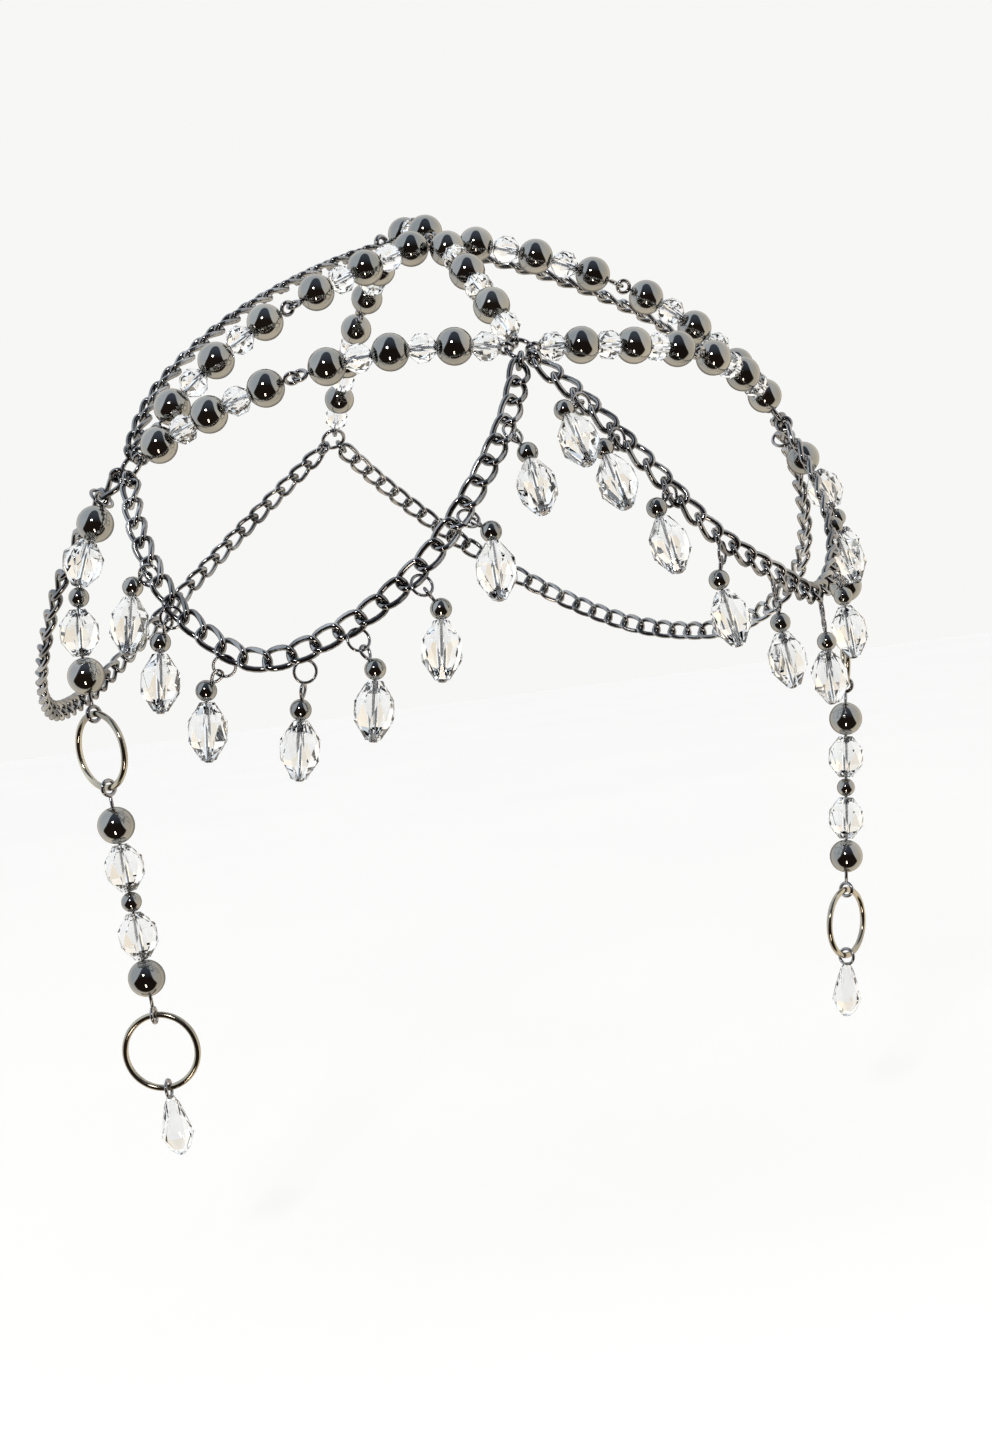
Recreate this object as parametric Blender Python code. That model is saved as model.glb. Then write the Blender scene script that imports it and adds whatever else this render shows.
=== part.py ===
"""Crystal and gunmetal bead headpiece, shaped as it sits on a head.

Sizes are in millimetres and each point is turned into metres when its mesh is made. The
front faces -Y and Z points up. Left and right are as seen from the front. The origin is
the highest point of the head form, which itself isn't part of the model: it only says
where each string, chain and drop lies.
"""

import math

import bpy
import numpy as np

for thing in list(bpy.data.objects):
    bpy.data.objects.remove(thing)

MM = 0.001

# The head form that the piece is worn on
HEAD_HALF_WIDTH = 95.0
HEAD_FRONT_DEPTH = 85.5
HEAD_BACK_DEPTH = 98.0
HEAD_HALF_HEIGHT = 86.0

# Balls and stones threaded on the strings
BALL_DIAMETER = 8.0
STRING_STONE_WIDTH = 6.0
STRING_STONE_LENGTH = 5.2
STRING_STONE_TABLE = 2.9
STRING_WIRE = 0.9
STRING_SIDES = 10
STRING_HEIGHT = 4.3
LOOP_WIDTH = 3.7
LOOP_WIRE = 0.9

# Curb chains, each stood for by a round envelope of its links
CHAIN_DIAMETER = 3.4
CHAIN_HEIGHT = 2.2
CHAIN_POINT_SPACING = 10.0
CHAIN_END_CLEARANCE = 0.5

# Rings where strings and chains meet
JUNCTION_DIAMETER = 7.0
JUNCTION_WIRE = 1.0

# Small drops under the two front swags
DROP_RING_CLEARANCE = 0.55
DROP_RING_WIRE = 0.8
DROP_BEAD_DIAMETER = 4.3
DROP_STONE_WIDTH = 8.2
DROP_STONE_LENGTH = 11.8
DROP_STONE_TABLE = 3.2
DROP_STONE_HEIGHT = 4.6
DROP_PIN = 0.8

# How far a drop's bead and stone swing away from the front where the swag runs level
DROP_BEAD_SPREAD = 0.6
DROP_STONE_SPREAD = 0.25
# The stem from the ring to the bead is long where the swag runs level and the drop hangs free,
# and short where the swag is steep and the ring lies along it
DROP_LONG_STEM = 6.8
DROP_SHORT_STEM = 1.3
DROP_SIDES = 8

# Long side pendants
PENDANT_BALL_DIAMETER = 8.0
PENDANT_SMALL_BEAD = 4.4
PENDANT_STONE_WIDTH = 8.4
PENDANT_STONE_LENGTH = 10.0
PENDANT_STONE_TABLE = 3.4
PENDANT_BEAD_SPACE = 0.3
PENDANT_TOP_STEM = 1.0
PENDANT_STEM = 2.6
PENDANT_RING_DIAMETER = 17.5
PENDANT_RING_WIRE = 1.4
PENDANT_LOOP_WIDTH = 4.1
TEARDROP_WIDTH = 7.0
TEARDROP_LENGTH = 13.0
TEARDROP_LINK_WIDTH = 4.6
TEARDROP_LINK_WIRE = 0.8
LINK_CLEARANCE = 0.5

# Colours of the preview materials
GUNMETAL = (0.12, 0.12, 0.13, 1.0)
CLEAR = (0.85, 0.9, 0.95, 1.0)

# Meeting points as bearing, latitude and height above the head form. A bearing is in
# degrees from the front, positive toward the left.
JUNCTIONS = {
    "front": (0, 40.3, 3.0),
    "crown": (0, 74.0, 7.0),
    "rear_crown": (180, 86.5, 9.5),
    "back": (180, 36.0, 3.0),
    "left": (67.5, 27.0, 3.0),
    "right": (-67.5, 27.0, 3.0),
}

# Routes between two meeting points as bearing, latitude and height of the points between
ROUTES = {
    "front_string_left": ("front", [(23, 40.7, 4.3), (46, 35.6, 4.3)], "left"),
    "front_string_right": ("front", [(-21, 38.9, 4.3), (-45, 35.6, 4.3)], "right"),
    "crown_string_left": ("crown", [(39, 61.0, 4.4), (57, 44.5, 4.2)], "left"),
    "crown_string_right": ("crown", [(-39, 62.0, 5.0), (-57, 46.0, 4.3)], "right"),
    "crown_string_front": ("front", [(2, 57.0, 4.6)], "crown"),
    "crown_string_rear": ("crown", [(0, 83.0, 9.4)], "rear_crown"),
    "back_string": ("rear_crown", [(180, 60.0, 4.3)], "back"),
    "front_swag_left": (
        "front",
        [
            (4, 32, 3),
            (12, 19.9, 3),
            (22, 8.5, 3),
            (32, 2.2, 3),
            (44, -0.5, 3),
            (53, 5.4, 3),
            (60.5, 15, 3),
        ],
        "left",
    ),
    "front_swag_right": (
        "front",
        [
            (-5.5, 33, 3),
            (-13, 21, 3),
            (-23, 8.5, 3),
            (-33, 3, 3),
            (-44, -0.5, 3),
            (-54, 4, 3),
            (-61.5, 14, 3),
        ],
        "right",
    ),
    "rear_swag_left": (
        "left",
        [
            (72.5, 24, 2.4),
            (79, 15.5, 2.2),
            (88, 4.5, 2.2),
            (106, -4, 2.2),
            (126, -3, 2.2),
            (148, 8, 2.2),
            (167, 24, 2.2),
        ],
        "back",
    ),
    "rear_swag_right": (
        "right",
        [
            (-72.5, 24, 2.4),
            (-79, 15.5, 2.2),
            (-88, 4.5, 2.2),
            (-106, -4, 2.2),
            (-126, -3, 2.2),
            (-148, 8, 2.2),
            (-167, 24, 2.2),
        ],
        "back",
    ),
    "crown_chain_left": ("left", [(74, 41, 2.2), (76.5, 56, 2.2), (80, 71, 3.8)], "rear_crown"),
    "crown_chain_right": ("right", [(-74, 41, 2.2), (-76.5, 56, 2.2), (-80, 71, 3.8)], "rear_crown"),
}

# What each string carries in order: b a ball, c a clear stone, l a bare stretch of wire
# where the real string has two linked loops
STRING_ITEMS = {
    "front_string_left": "cbcbcblbcbcb",
    "front_string_right": "cbcbcblbcbcb",
    "crown_string_left": "bcbcblbcbcbl",
    "crown_string_right": "bcbcblbcbcbl",
    "crown_string_front": "cbcbcb",
    "crown_string_rear": "bcb",
    "back_string": "cbcblbcbcbc",
}

# Share of the swag's length where each drop hangs, from the front end
DROPS_LEFT = (0.14, 0.26, 0.368, 0.469, 0.569, 0.674, 0.762, 0.848)
DROPS_RIGHT = (0.08, 0.155, 0.258, 0.371, 0.495, 0.615, 0.72, 0.83)

# Bearing that each large ring faces
RING_BEARINGS = {"left": (64, 28), "right": (-64, -30)}

# Where a pendant hangs on its rear swag, from the chain's upper end, and the bearing and
# latitudes that its upper section passes before it hangs free
PENDANT_PLACE = 7.0
PENDANT_BEARING = 71.5
PENDANT_TOP_LATITUDE = 16.5
PENDANT_LOW_LATITUDE = 2.0
# How far each pendant leans in toward the neck, per unit of hang
PENDANT_INWARD = {"left": 0.07, "right": 0.12}


def unit(vector):
    """The same direction with length one."""
    return np.asarray(vector, float) / np.linalg.norm(vector)


def square_to(vector, other):
    """The vector turned as little as needed to stand square to the other."""
    return unit(vector - other * np.dot(vector, other))


def bearing_direction(bearing, latitude):
    """Direction from the head centre for a bearing and a latitude in degrees."""
    turn = math.radians(bearing)
    rise = math.radians(latitude)
    return np.array([-math.sin(turn) * math.cos(rise), -math.cos(turn) * math.cos(rise), math.sin(rise)])


def above_head(direction, height):
    """Point on the head form in this direction, lifted by the height along its normal."""
    depth = HEAD_BACK_DEPTH if direction[1] > 0 else HEAD_FRONT_DEPTH
    half = np.array([HEAD_HALF_WIDTH, depth, HEAD_HALF_HEIGHT])
    reach = 1.0 / math.sqrt(float(np.sum((direction / half) ** 2)))
    point = direction * reach
    return point + unit(point / half**2) * height - np.array([0.0, 0.0, HEAD_HALF_HEIGHT])


def outward(point):
    """Outward normal of the head form near a point."""
    depth = HEAD_BACK_DEPTH if point[1] > 0 else HEAD_FRONT_DEPTH
    half = np.array([HEAD_HALF_WIDTH, depth, HEAD_HALF_HEIGHT])
    return unit((point + np.array([0.0, 0.0, HEAD_HALF_HEIGHT])) / half**2)


def junction_point(name):
    """Centre of the ring at a meeting point."""
    bearing, latitude, height = JUNCTIONS[name]
    return above_head(bearing_direction(bearing, latitude), height)


def smooth(values, count):
    """Even samples of a cubic that passes through the given rows."""
    values = np.asarray(values, float)
    steps = np.linalg.norm(np.diff(values[:, :3], axis=0), axis=1)
    knots = np.concatenate([[0.0], np.cumsum(steps)])
    slopes = np.gradient(values, knots, axis=0, edge_order=2 if len(values) > 2 else 1)
    samples = np.linspace(0.0, knots[-1], count)
    index = np.clip(np.searchsorted(knots, samples, side="right") - 1, 0, len(knots) - 2)
    span = (knots[index + 1] - knots[index])[:, None]
    share = (samples[:, None] - knots[index][:, None]) / span
    square = share**2
    cube = share**3
    return (
        (2 * cube - 3 * square + 1) * values[index]
        + (cube - 2 * square + share) * span * slopes[index]
        + (3 * square - 2 * cube) * values[index + 1]
        + (cube - square) * span * slopes[index + 1]
    )


class Route:
    """A smooth line over the head form that can be read by distance."""

    def __init__(self, points):
        self.points = np.asarray(points, float)
        steps = np.linalg.norm(np.diff(self.points, axis=0), axis=1)
        self.distances = np.concatenate([[0.0], np.cumsum(steps)])
        self.length = float(self.distances[-1])

    def at(self, distance):
        """Point at a distance from the start."""
        return np.array([np.interp(distance, self.distances, self.points[:, axis]) for axis in range(3)])

    def along(self, distance):
        """Direction of travel at a distance from the start."""
        return unit(self.at(min(distance + 1.0, self.length)) - self.at(max(distance - 1.0, 0.0)))


def head_route(name):
    """Route of a string or chain over the head form, from its row in the table."""
    start, between, end = ROUTES[name]
    rows = [JUNCTIONS[start], *between, JUNCTIONS[end]]
    controls = [[*bearing_direction(bearing, latitude), height / 100.0] for bearing, latitude, height in rows]
    samples = smooth(controls, 160)
    return Route([above_head(unit(row[:3]), row[3] * 100.0) for row in samples])


def material_for(name, colour, clear):
    """Plain preview material of one piece."""
    material = bpy.data.materials.new(name)
    material.use_nodes = True
    shader = material.node_tree.nodes["Principled BSDF"]
    shader.inputs["Base Color"].default_value = colour
    shader.inputs["Metallic"].default_value = 0.0 if clear else 1.0
    shader.inputs["Roughness"].default_value = 0.08 if clear else 0.2
    return material


def mesh_object(name, points, faces, colour=GUNMETAL, clear=False):
    """Object with a mesh from points in millimetres, its faces turned outward."""
    points = np.asarray(points, float)
    volume = 0.0
    for face in faces:
        for second, third in zip(face[1:-1], face[2:]):
            volume += float(np.dot(points[face[0]], np.cross(points[second], points[third])))
    if volume < 0:
        faces = [tuple(reversed(face)) for face in faces]
    mesh = bpy.data.meshes.new(name)
    mesh.from_pydata((points * MM).tolist(), [], [tuple(face) for face in faces])
    mesh.update()
    piece = bpy.data.objects.new(name, mesh)
    bpy.context.scene.collection.objects.link(piece)
    piece.data.materials.append(material_for(name, colour, clear))
    return piece


def swept(centres, tangents, up, radii, sides):
    """Points and faces of one closed body whose radius changes along a line."""
    points = []
    faces = []
    for centre, tangent, normal, radius in zip(centres, tangents, up, radii):
        side = unit(np.cross(tangent, normal))
        top = np.cross(side, tangent)
        for corner in range(sides):
            angle = 2 * math.pi * corner / sides
            points.append(centre + radius * (math.cos(angle) * top + math.sin(angle) * side))
    rings = len(radii)
    for ring in range(rings - 1):
        for corner in range(sides):
            following = (corner + 1) % sides
            low = ring * sides
            faces.append((low + corner, low + following, low + sides + following, low + sides + corner))
    faces.append(tuple(reversed(range(sides))))
    faces.append(tuple((rings - 1) * sides + corner for corner in range(sides)))
    return points, faces


def round_ring(centre, axis, middle_radius, wire_radius, segments, sides):
    """Points and faces of a closed round ring of wire about an axis."""
    axis = unit(axis)
    start = unit(np.cross(axis, (0.31, 0.52, 0.79) if abs(axis[2]) > 0.9 else (0.0, 0.0, 1.0)))
    other = np.cross(axis, start)
    points = []
    faces = []
    for segment in range(segments):
        angle = 2 * math.pi * segment / segments
        radial = math.cos(angle) * start + math.sin(angle) * other
        for corner in range(sides):
            turn = 2 * math.pi * (corner + 0.5) / sides
            reach = middle_radius + wire_radius * math.cos(turn)
            points.append(centre + radial * reach + axis * wire_radius * math.sin(turn))
    for segment in range(segments):
        ahead = (segment + 1) % segments
        for corner in range(sides):
            following = (corner + 1) % sides
            faces.append(
                (
                    segment * sides + corner,
                    ahead * sides + corner,
                    ahead * sides + following,
                    segment * sides + following,
                )
            )
    return points, faces


def ring_object(name, centre, axis, diameter, wire, segments, sides):
    """A wire ring that is a piece of its own."""
    points, faces = round_ring(centre, axis, (diameter - wire) / 2, wire / 2, segments, sides)
    return mesh_object(name, points, faces)


def fused_rings(piece, rings):
    """Fuse wire rings, each as centre, axis, middle radius and wire radius, to a piece."""
    for number, (centre, axis, middle_radius, wire_radius, segments) in enumerate(rings):
        points, faces = round_ring(centre, axis, middle_radius, wire_radius, segments, 5)
        helper = mesh_object(f"{piece.name}_loop_{number}", points, faces)
        helper.hide_render = True
        helper.display_type = "WIRE"
        fuse = piece.modifiers.new(f"fuse loop {number}", "BOOLEAN")
        fuse.operation = "UNION"
        fuse.solver = "EXACT"
        fuse.object = helper


def ball_rows(radius, start, end, between):
    """Distance and radius pairs of a threaded ball whose two hole ends have these radii."""
    first = math.degrees(math.asin(start / radius))
    last = 180.0 - math.degrees(math.asin(end / radius))
    turns = [math.radians(angle) for angle in (first, *between, last)]
    return [(-radius * math.cos(turn), radius * math.sin(turn)) for turn in turns]


def threaded(kinds, centres, sizes, wire):
    """Distance and radius pairs of balls and stones that sit table to table on a wire."""
    rows = []
    for number, (kind, centre) in enumerate(zip(kinds, centres)):
        before = kinds[number - 1] if number else "l"
        after = kinds[number + 1] if number + 1 < len(kinds) else "l"
        if kind == "l":
            rows.append((centre, wire))
            continue
        width, length = sizes[kind]
        if length is None:
            between = (45.0, 90.0, 135.0) if kind == "b" else (90.0,)
            start = sizes["table"] if before in "cs" else wire
            end = sizes["table"] if after in "cs" else wire
            rows += [(centre + d, r) for d, r in ball_rows(width / 2, start, end, between)]
            continue
        belts = (-0.36, 0.36) if kind == "s" else (0.0,)
        if before == "l":
            rows.append((centre - length / 2, sizes["table"]))
        rows += [(centre + belt * length / 2, width / 2) for belt in belts]
        if after == "l":
            rows.append((centre + length / 2, sizes["table"]))
    return rows


def loop_middle():
    """Middle radius of an end loop."""
    return (LOOP_WIDTH - LOOP_WIRE) / 2


def pendant_loop_middle():
    """Middle radius of a loop that grips a large ring."""
    return (PENDANT_LOOP_WIDTH - LOOP_WIRE) / 2


def junction_middle():
    """Middle radius of a meeting ring."""
    return (JUNCTION_DIAMETER - JUNCTION_WIRE) / 2


def end_loop(centre_of_ring, direction, normal):
    """Centre and axis of a loop that grips the meeting ring on one side."""
    flat = square_to(direction, normal)
    return centre_of_ring + flat * junction_middle(), np.cross(flat, normal)


def string_piece(name):
    """One bead string: wire, balls, stones and end loops fused into one body."""
    route = head_route(name)
    start, _, end = ROUTES[name]
    items = STRING_ITEMS[name]
    reach = junction_middle() + loop_middle()
    rooms = {"b": BALL_DIAMETER / 2, "c": STRING_STONE_LENGTH / 2, "l": LOOP_WIDTH}
    first_item = reach + LOOP_WIRE / 2 + rooms[items[0]] - 0.1
    last_item = route.length - (reach + LOOP_WIRE / 2 + rooms[items[-1]] - 0.1)
    centres = np.linspace(first_item, last_item, len(items))
    stations = [(reach, STRING_WIRE / 2)]
    sizes = {
        "b": (BALL_DIAMETER, None),
        "c": (STRING_STONE_WIDTH, STRING_STONE_LENGTH),
        "table": STRING_STONE_TABLE / 2,
    }
    stations += threaded(items, centres, sizes, STRING_WIRE / 2)
    stations.append((route.length - reach, STRING_WIRE / 2))
    points, faces = swept(
        [route.at(d) for d, _ in stations],
        [route.along(d) for d, _ in stations],
        [outward(route.at(d)) for d, _ in stations],
        [r for _, r in stations],
        STRING_SIDES,
    )
    piece = mesh_object(name, points, faces)
    loops = []
    for place, direction in ((start, route.at(reach)), (end, route.at(route.length - reach))):
        ring_centre = junction_point(place)
        centre, axis = end_loop(ring_centre, direction - ring_centre, outward(ring_centre))
        loops.append((centre, axis, loop_middle(), LOOP_WIRE / 2, 10))
    fused_rings(piece, loops)
    return piece


def chain_line(name):
    """Middle line of a chain between the two rings that it hangs from."""
    route = head_route(name)
    trim = JUNCTION_DIAMETER / 2 + CHAIN_END_CLEARANCE
    count = max(3, round((route.length - 2 * trim) / CHAIN_POINT_SPACING) + 1)
    return Route([route.at(distance) for distance in np.linspace(trim, route.length - trim, count)])


def chain_piece(name):
    """One curb chain as the round envelope of its links."""
    line_points = chain_line(name).points
    curve = bpy.data.curves.new(name, "CURVE")
    curve.dimensions = "3D"
    curve.bevel_depth = CHAIN_DIAMETER / 2 * MM
    curve.bevel_resolution = 2
    curve.use_fill_caps = True
    line = curve.splines.new("POLY")
    line.points.add(len(line_points) - 1)
    for number, point in enumerate(line_points):
        line.points[number].co = (*(point * MM), 1.0)
    piece = bpy.data.objects.new(name, curve)
    bpy.context.scene.collection.objects.link(piece)
    curve.materials.append(material_for(name, GUNMETAL, False))
    return piece


def chain_ring_middle():
    """Middle radius of a ring that hangs round a chain."""
    return CHAIN_DIAMETER / 2 + DROP_RING_CLEARANCE + DROP_RING_WIRE / 2


def hanging_place(chain, distance):
    """Point of a chain, its direction, and the direction square to it that leads down the head."""
    place = chain.at(distance)
    tangent = chain.along(distance)
    away = unit(np.cross(outward(place), tangent))
    return place, tangent, away if away[2] < 0 else -away


def drop_piece(name, swag, share):
    """One drop: ring round the chain, pin, small bead and long stone fused into one body."""
    chain = chain_line(swag)
    place, tangent, away = hanging_place(chain, chain.length * share)
    normal = outward(place)
    down = np.array([0.0, 0.0, -1.0])
    lean = square_to(down, normal)
    ring_middle = chain_ring_middle()
    top = place + away * ring_middle
    level = min(max(2.0 * np.dot(away, lean) - 1.0, 0.0), 1.0)
    stem = DROP_SHORT_STEM + level * (DROP_LONG_STEM - DROP_SHORT_STEM)
    backward = np.cross(lean, normal) * (level if "left" in swag else -level)
    bead_away = unit(lean + away * 2.0 + backward * DROP_BEAD_SPREAD)
    bead = top + bead_away * (stem + DROP_BEAD_DIAMETER / 2)
    stone_away = unit(lean + backward * DROP_STONE_SPREAD)
    stone = bead + stone_away * (DROP_BEAD_DIAMETER / 2 + DROP_STONE_LENGTH / 2 + 0.2)
    stone = above_head(unit(stone + np.array([0.0, 0.0, HEAD_HALF_HEIGHT])), DROP_STONE_HEIGHT)
    stations = [(top, unit(bead - top), DROP_PIN / 2)]
    first_way = unit(bead - top)
    second_way = unit(stone - bead)
    bead_rows = ball_rows(DROP_BEAD_DIAMETER / 2, DROP_PIN / 2, DROP_STONE_TABLE / 2, (50.0, 90.0))
    for distance, radius in bead_rows:
        way = first_way if distance < 0 else second_way
        stations.append((bead + way * distance, way, radius))
    for belt, width in ((-0.36, DROP_STONE_WIDTH), (0.36, DROP_STONE_WIDTH), (1.0, DROP_STONE_TABLE)):
        stations.append((stone + second_way * belt * DROP_STONE_LENGTH / 2, second_way, width / 2))
    points, faces = swept(
        [row[0] for row in stations],
        [row[1] for row in stations],
        [normal] * len(stations),
        [row[2] for row in stations],
        DROP_SIDES,
    )
    piece = mesh_object(name, points, faces, CLEAR, True)
    fused_rings(piece, [(place, tangent, ring_middle, DROP_RING_WIRE / 2, 10)])
    return piece


def pendant_section(name, route, loops):
    """Balls, small bead and two long stones threaded on one wire."""
    step_stone = PENDANT_BALL_DIAMETER / 2 + PENDANT_BEAD_SPACE + PENDANT_STONE_LENGTH / 2
    step_small = PENDANT_STONE_LENGTH / 2 + PENDANT_BEAD_SPACE + PENDANT_SMALL_BEAD / 2
    steps = [0.0, step_stone, step_small, step_small, step_stone]
    first = route.length - PENDANT_STEM - PENDANT_BALL_DIAMETER / 2 - sum(steps)
    sizes = {
        "b": (PENDANT_BALL_DIAMETER, None),
        "m": (PENDANT_SMALL_BEAD, None),
        "s": (PENDANT_STONE_WIDTH, PENDANT_STONE_LENGTH),
        "table": PENDANT_STONE_TABLE / 2,
    }
    rows = threaded("bsmsb", first + np.cumsum(steps), sizes, STRING_WIRE / 2)
    stations = [(0.0, STRING_WIRE / 2), *rows, (route.length, STRING_WIRE / 2)]
    points, faces = swept(
        [route.at(d) for d, _ in stations],
        [route.along(d) for d, _ in stations],
        [outward(route.at(d)) for d, _ in stations],
        [r for _, r in stations],
        STRING_SIDES,
    )
    piece = mesh_object(name, points, faces)
    fused_rings(piece, loops)
    return piece


def section_length():
    """Length of the balls, stones and small bead of a pendant section."""
    return (
        2 * PENDANT_BALL_DIAMETER
        + 2 * PENDANT_STONE_LENGTH
        + PENDANT_SMALL_BEAD
        + 4 * PENDANT_BEAD_SPACE
    )


def large_ring(name, centre, axis):
    """One large ring of a pendant."""
    ring_object(name, centre, axis, PENDANT_RING_DIAMETER, PENDANT_RING_WIRE, 16, 5)


def side_pendant(side):
    """Upper section, ring, lower section, ring and teardrop that hang from a rear swag."""
    sign = 1 if side == "left" else -1
    down = unit(np.array([sign * PENDANT_INWARD[side], 0.0, -1.0]))
    ring_middle = (PENDANT_RING_DIAMETER - PENDANT_RING_WIRE) / 2
    place, tangent, away = hanging_place(chain_line(f"rear_swag_{side}"), PENDANT_PLACE)
    top = place + away * chain_ring_middle()
    controls = [
        [*unit(top + np.array([0.0, 0.0, HEAD_HALF_HEIGHT])), CHAIN_HEIGHT / 100.0],
        [*bearing_direction(sign * PENDANT_BEARING, PENDANT_TOP_LATITUDE), STRING_HEIGHT / 100.0],
        [*bearing_direction(sign * PENDANT_BEARING, PENDANT_LOW_LATITUDE), STRING_HEIGHT / 100.0],
    ]
    over_head = [above_head(unit(row[:3]), row[3] * 100.0) for row in smooth(controls, 80)]
    line = Route([top, *over_head[2:], over_head[-1] + down * 60.0])
    length = PENDANT_TOP_STEM + section_length() + PENDANT_STEM
    upper = Route([line.at(share * length) for share in np.linspace(0, 1, 60)])
    grip = upper.points[-1] + down * pendant_loop_middle()
    first_facing, second_facing = RING_BEARINGS[side]
    first_axis = square_to(bearing_direction(first_facing, 0), down)
    second_axis = square_to(bearing_direction(second_facing, 0), down)
    pendant_section(
        f"pendant_upper_{side}",
        upper,
        [
            (place, tangent, chain_ring_middle(), DROP_RING_WIRE / 2, 10),
            (grip, np.cross(down, first_axis), pendant_loop_middle(), LOOP_WIRE / 2, 10),
        ],
    )
    first_centre = grip + down * ring_middle
    large_ring(f"pendant_ring_upper_{side}", first_centre, first_axis)
    second_grip = first_centre + down * ring_middle
    top = second_grip + down * pendant_loop_middle()
    length = PENDANT_STEM + section_length() + PENDANT_STEM
    lower = Route([top + down * share * length for share in np.linspace(0, 1, 3)])
    third_grip = lower.points[-1] + down * pendant_loop_middle()
    pendant_section(
        f"pendant_lower_{side}",
        lower,
        [
            (second_grip, np.cross(down, first_axis), pendant_loop_middle(), LOOP_WIRE / 2, 10),
            (third_grip, np.cross(down, second_axis), pendant_loop_middle(), LOOP_WIRE / 2, 10),
        ],
    )
    second_centre = third_grip + down * ring_middle
    large_ring(f"pendant_ring_lower_{side}", second_centre, second_axis)
    link_middle = (TEARDROP_LINK_WIDTH - TEARDROP_LINK_WIRE) / 2
    hang = link_middle - (TEARDROP_LINK_WIRE + PENDANT_RING_WIRE) / 2 - LINK_CLEARANCE
    link_centre = second_centre + down * (ring_middle + hang)
    teardrop(f"teardrop_{side}", link_centre, link_middle, second_axis, down)


def teardrop(name, link_centre, link_middle, facing, down):
    """Faceted teardrop stone fused to the small link that hangs on the lower ring."""
    top = link_centre + down * link_middle
    rows = ((0.0, 0.10), (0.14, 0.24), (0.42, 0.40), (0.68, 0.50), (0.88, 0.34), (1.0, 0.12))
    centres = [top + down * (share * TEARDROP_LENGTH - TEARDROP_LINK_WIRE / 2) for share, _ in rows]
    points, faces = swept(
        centres,
        [down] * len(rows),
        [facing] * len(rows),
        [share * TEARDROP_WIDTH for _, share in rows],
        STRING_SIDES,
    )
    piece = mesh_object(name, points, faces, CLEAR, True)
    axis = np.cross(down, facing)
    fused_rings(piece, [(link_centre, axis, link_middle, TEARDROP_LINK_WIRE / 2, 10)])
    return piece


for place in JUNCTIONS:
    centre = junction_point(place)
    ring_object(f"junction_ring_{place}", centre, outward(centre), JUNCTION_DIAMETER, JUNCTION_WIRE, 12, 5)

for string in STRING_ITEMS:
    string_piece(string)

for chain in ROUTES:
    if chain not in STRING_ITEMS:
        chain_piece(chain)

for swag, shares in (("front_swag_left", DROPS_LEFT), ("front_swag_right", DROPS_RIGHT)):
    for number, share in enumerate(shares, start=1):
        side = swag.rsplit("_", 1)[1]
        drop_piece(f"drop_{side}_{number}", swag, share)

for side in ("left", "right"):
    side_pendant(side)
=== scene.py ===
"""Looks of the crystal headpiece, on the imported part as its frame."""

import math

import bpy
import numpy as np
from mathutils import Matrix, Vector


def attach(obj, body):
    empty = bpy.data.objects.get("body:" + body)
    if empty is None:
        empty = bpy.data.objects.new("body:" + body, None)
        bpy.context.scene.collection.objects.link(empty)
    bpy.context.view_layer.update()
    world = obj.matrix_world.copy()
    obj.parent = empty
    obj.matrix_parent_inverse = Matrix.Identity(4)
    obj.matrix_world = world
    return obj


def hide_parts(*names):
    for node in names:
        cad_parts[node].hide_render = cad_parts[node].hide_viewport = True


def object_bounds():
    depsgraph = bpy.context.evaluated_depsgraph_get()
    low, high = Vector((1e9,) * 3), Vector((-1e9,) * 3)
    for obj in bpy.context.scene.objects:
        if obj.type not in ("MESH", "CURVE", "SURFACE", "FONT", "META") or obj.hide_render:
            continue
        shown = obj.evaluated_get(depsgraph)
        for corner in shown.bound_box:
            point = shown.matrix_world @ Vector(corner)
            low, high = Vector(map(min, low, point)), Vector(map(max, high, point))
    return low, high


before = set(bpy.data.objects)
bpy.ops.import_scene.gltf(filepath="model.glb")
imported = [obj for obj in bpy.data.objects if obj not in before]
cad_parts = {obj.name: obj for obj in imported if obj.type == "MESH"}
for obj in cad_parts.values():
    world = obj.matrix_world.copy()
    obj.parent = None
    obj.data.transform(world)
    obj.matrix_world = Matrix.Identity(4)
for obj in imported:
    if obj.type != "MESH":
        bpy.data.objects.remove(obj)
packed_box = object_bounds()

# The view. The camera stands half a metre off, to the left of the front and low down, level
# with the drops, and is rolled a little. It sees an upright frame of 992 by 1440 points.

CAMERA_PLACE = Vector((-0.1583, -0.4596, -0.0850))
CAMERA_TURN = math.radians(20.08)
CAMERA_FALL = math.radians(2.78)
CAMERA_ROLL = math.radians(6.74)
CAMERA_LENS = 49.9
CAMERA_NEAREST = 0.02

ahead = Vector(
    (
        math.sin(CAMERA_TURN) * math.cos(CAMERA_FALL),
        math.cos(CAMERA_TURN) * math.cos(CAMERA_FALL),
        -math.sin(CAMERA_FALL),
    )
)
level_right = ahead.cross(Vector((0.0, 0.0, 1.0))).normalized()
level_up = level_right.cross(ahead)
camera_right = level_right * math.cos(CAMERA_ROLL) - level_up * math.sin(CAMERA_ROLL)
camera_up = level_right * math.sin(CAMERA_ROLL) + level_up * math.cos(CAMERA_ROLL)
camera = bpy.data.objects.new("camera", bpy.data.cameras.new("camera"))
camera.data.lens = CAMERA_LENS
camera.data.clip_start = CAMERA_NEAREST
camera.matrix_world = Matrix.Translation(CAMERA_PLACE) @ Matrix(
    (
        (camera_right.x, camera_up.x, -ahead.x, 0.0),
        (camera_right.y, camera_up.y, -ahead.y, 0.0),
        (camera_right.z, camera_up.z, -ahead.z, 0.0),
        (0.0, 0.0, 0.0, 1.0),
    )
)
bpy.context.scene.collection.objects.link(camera)
bpy.context.scene.camera = camera

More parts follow.
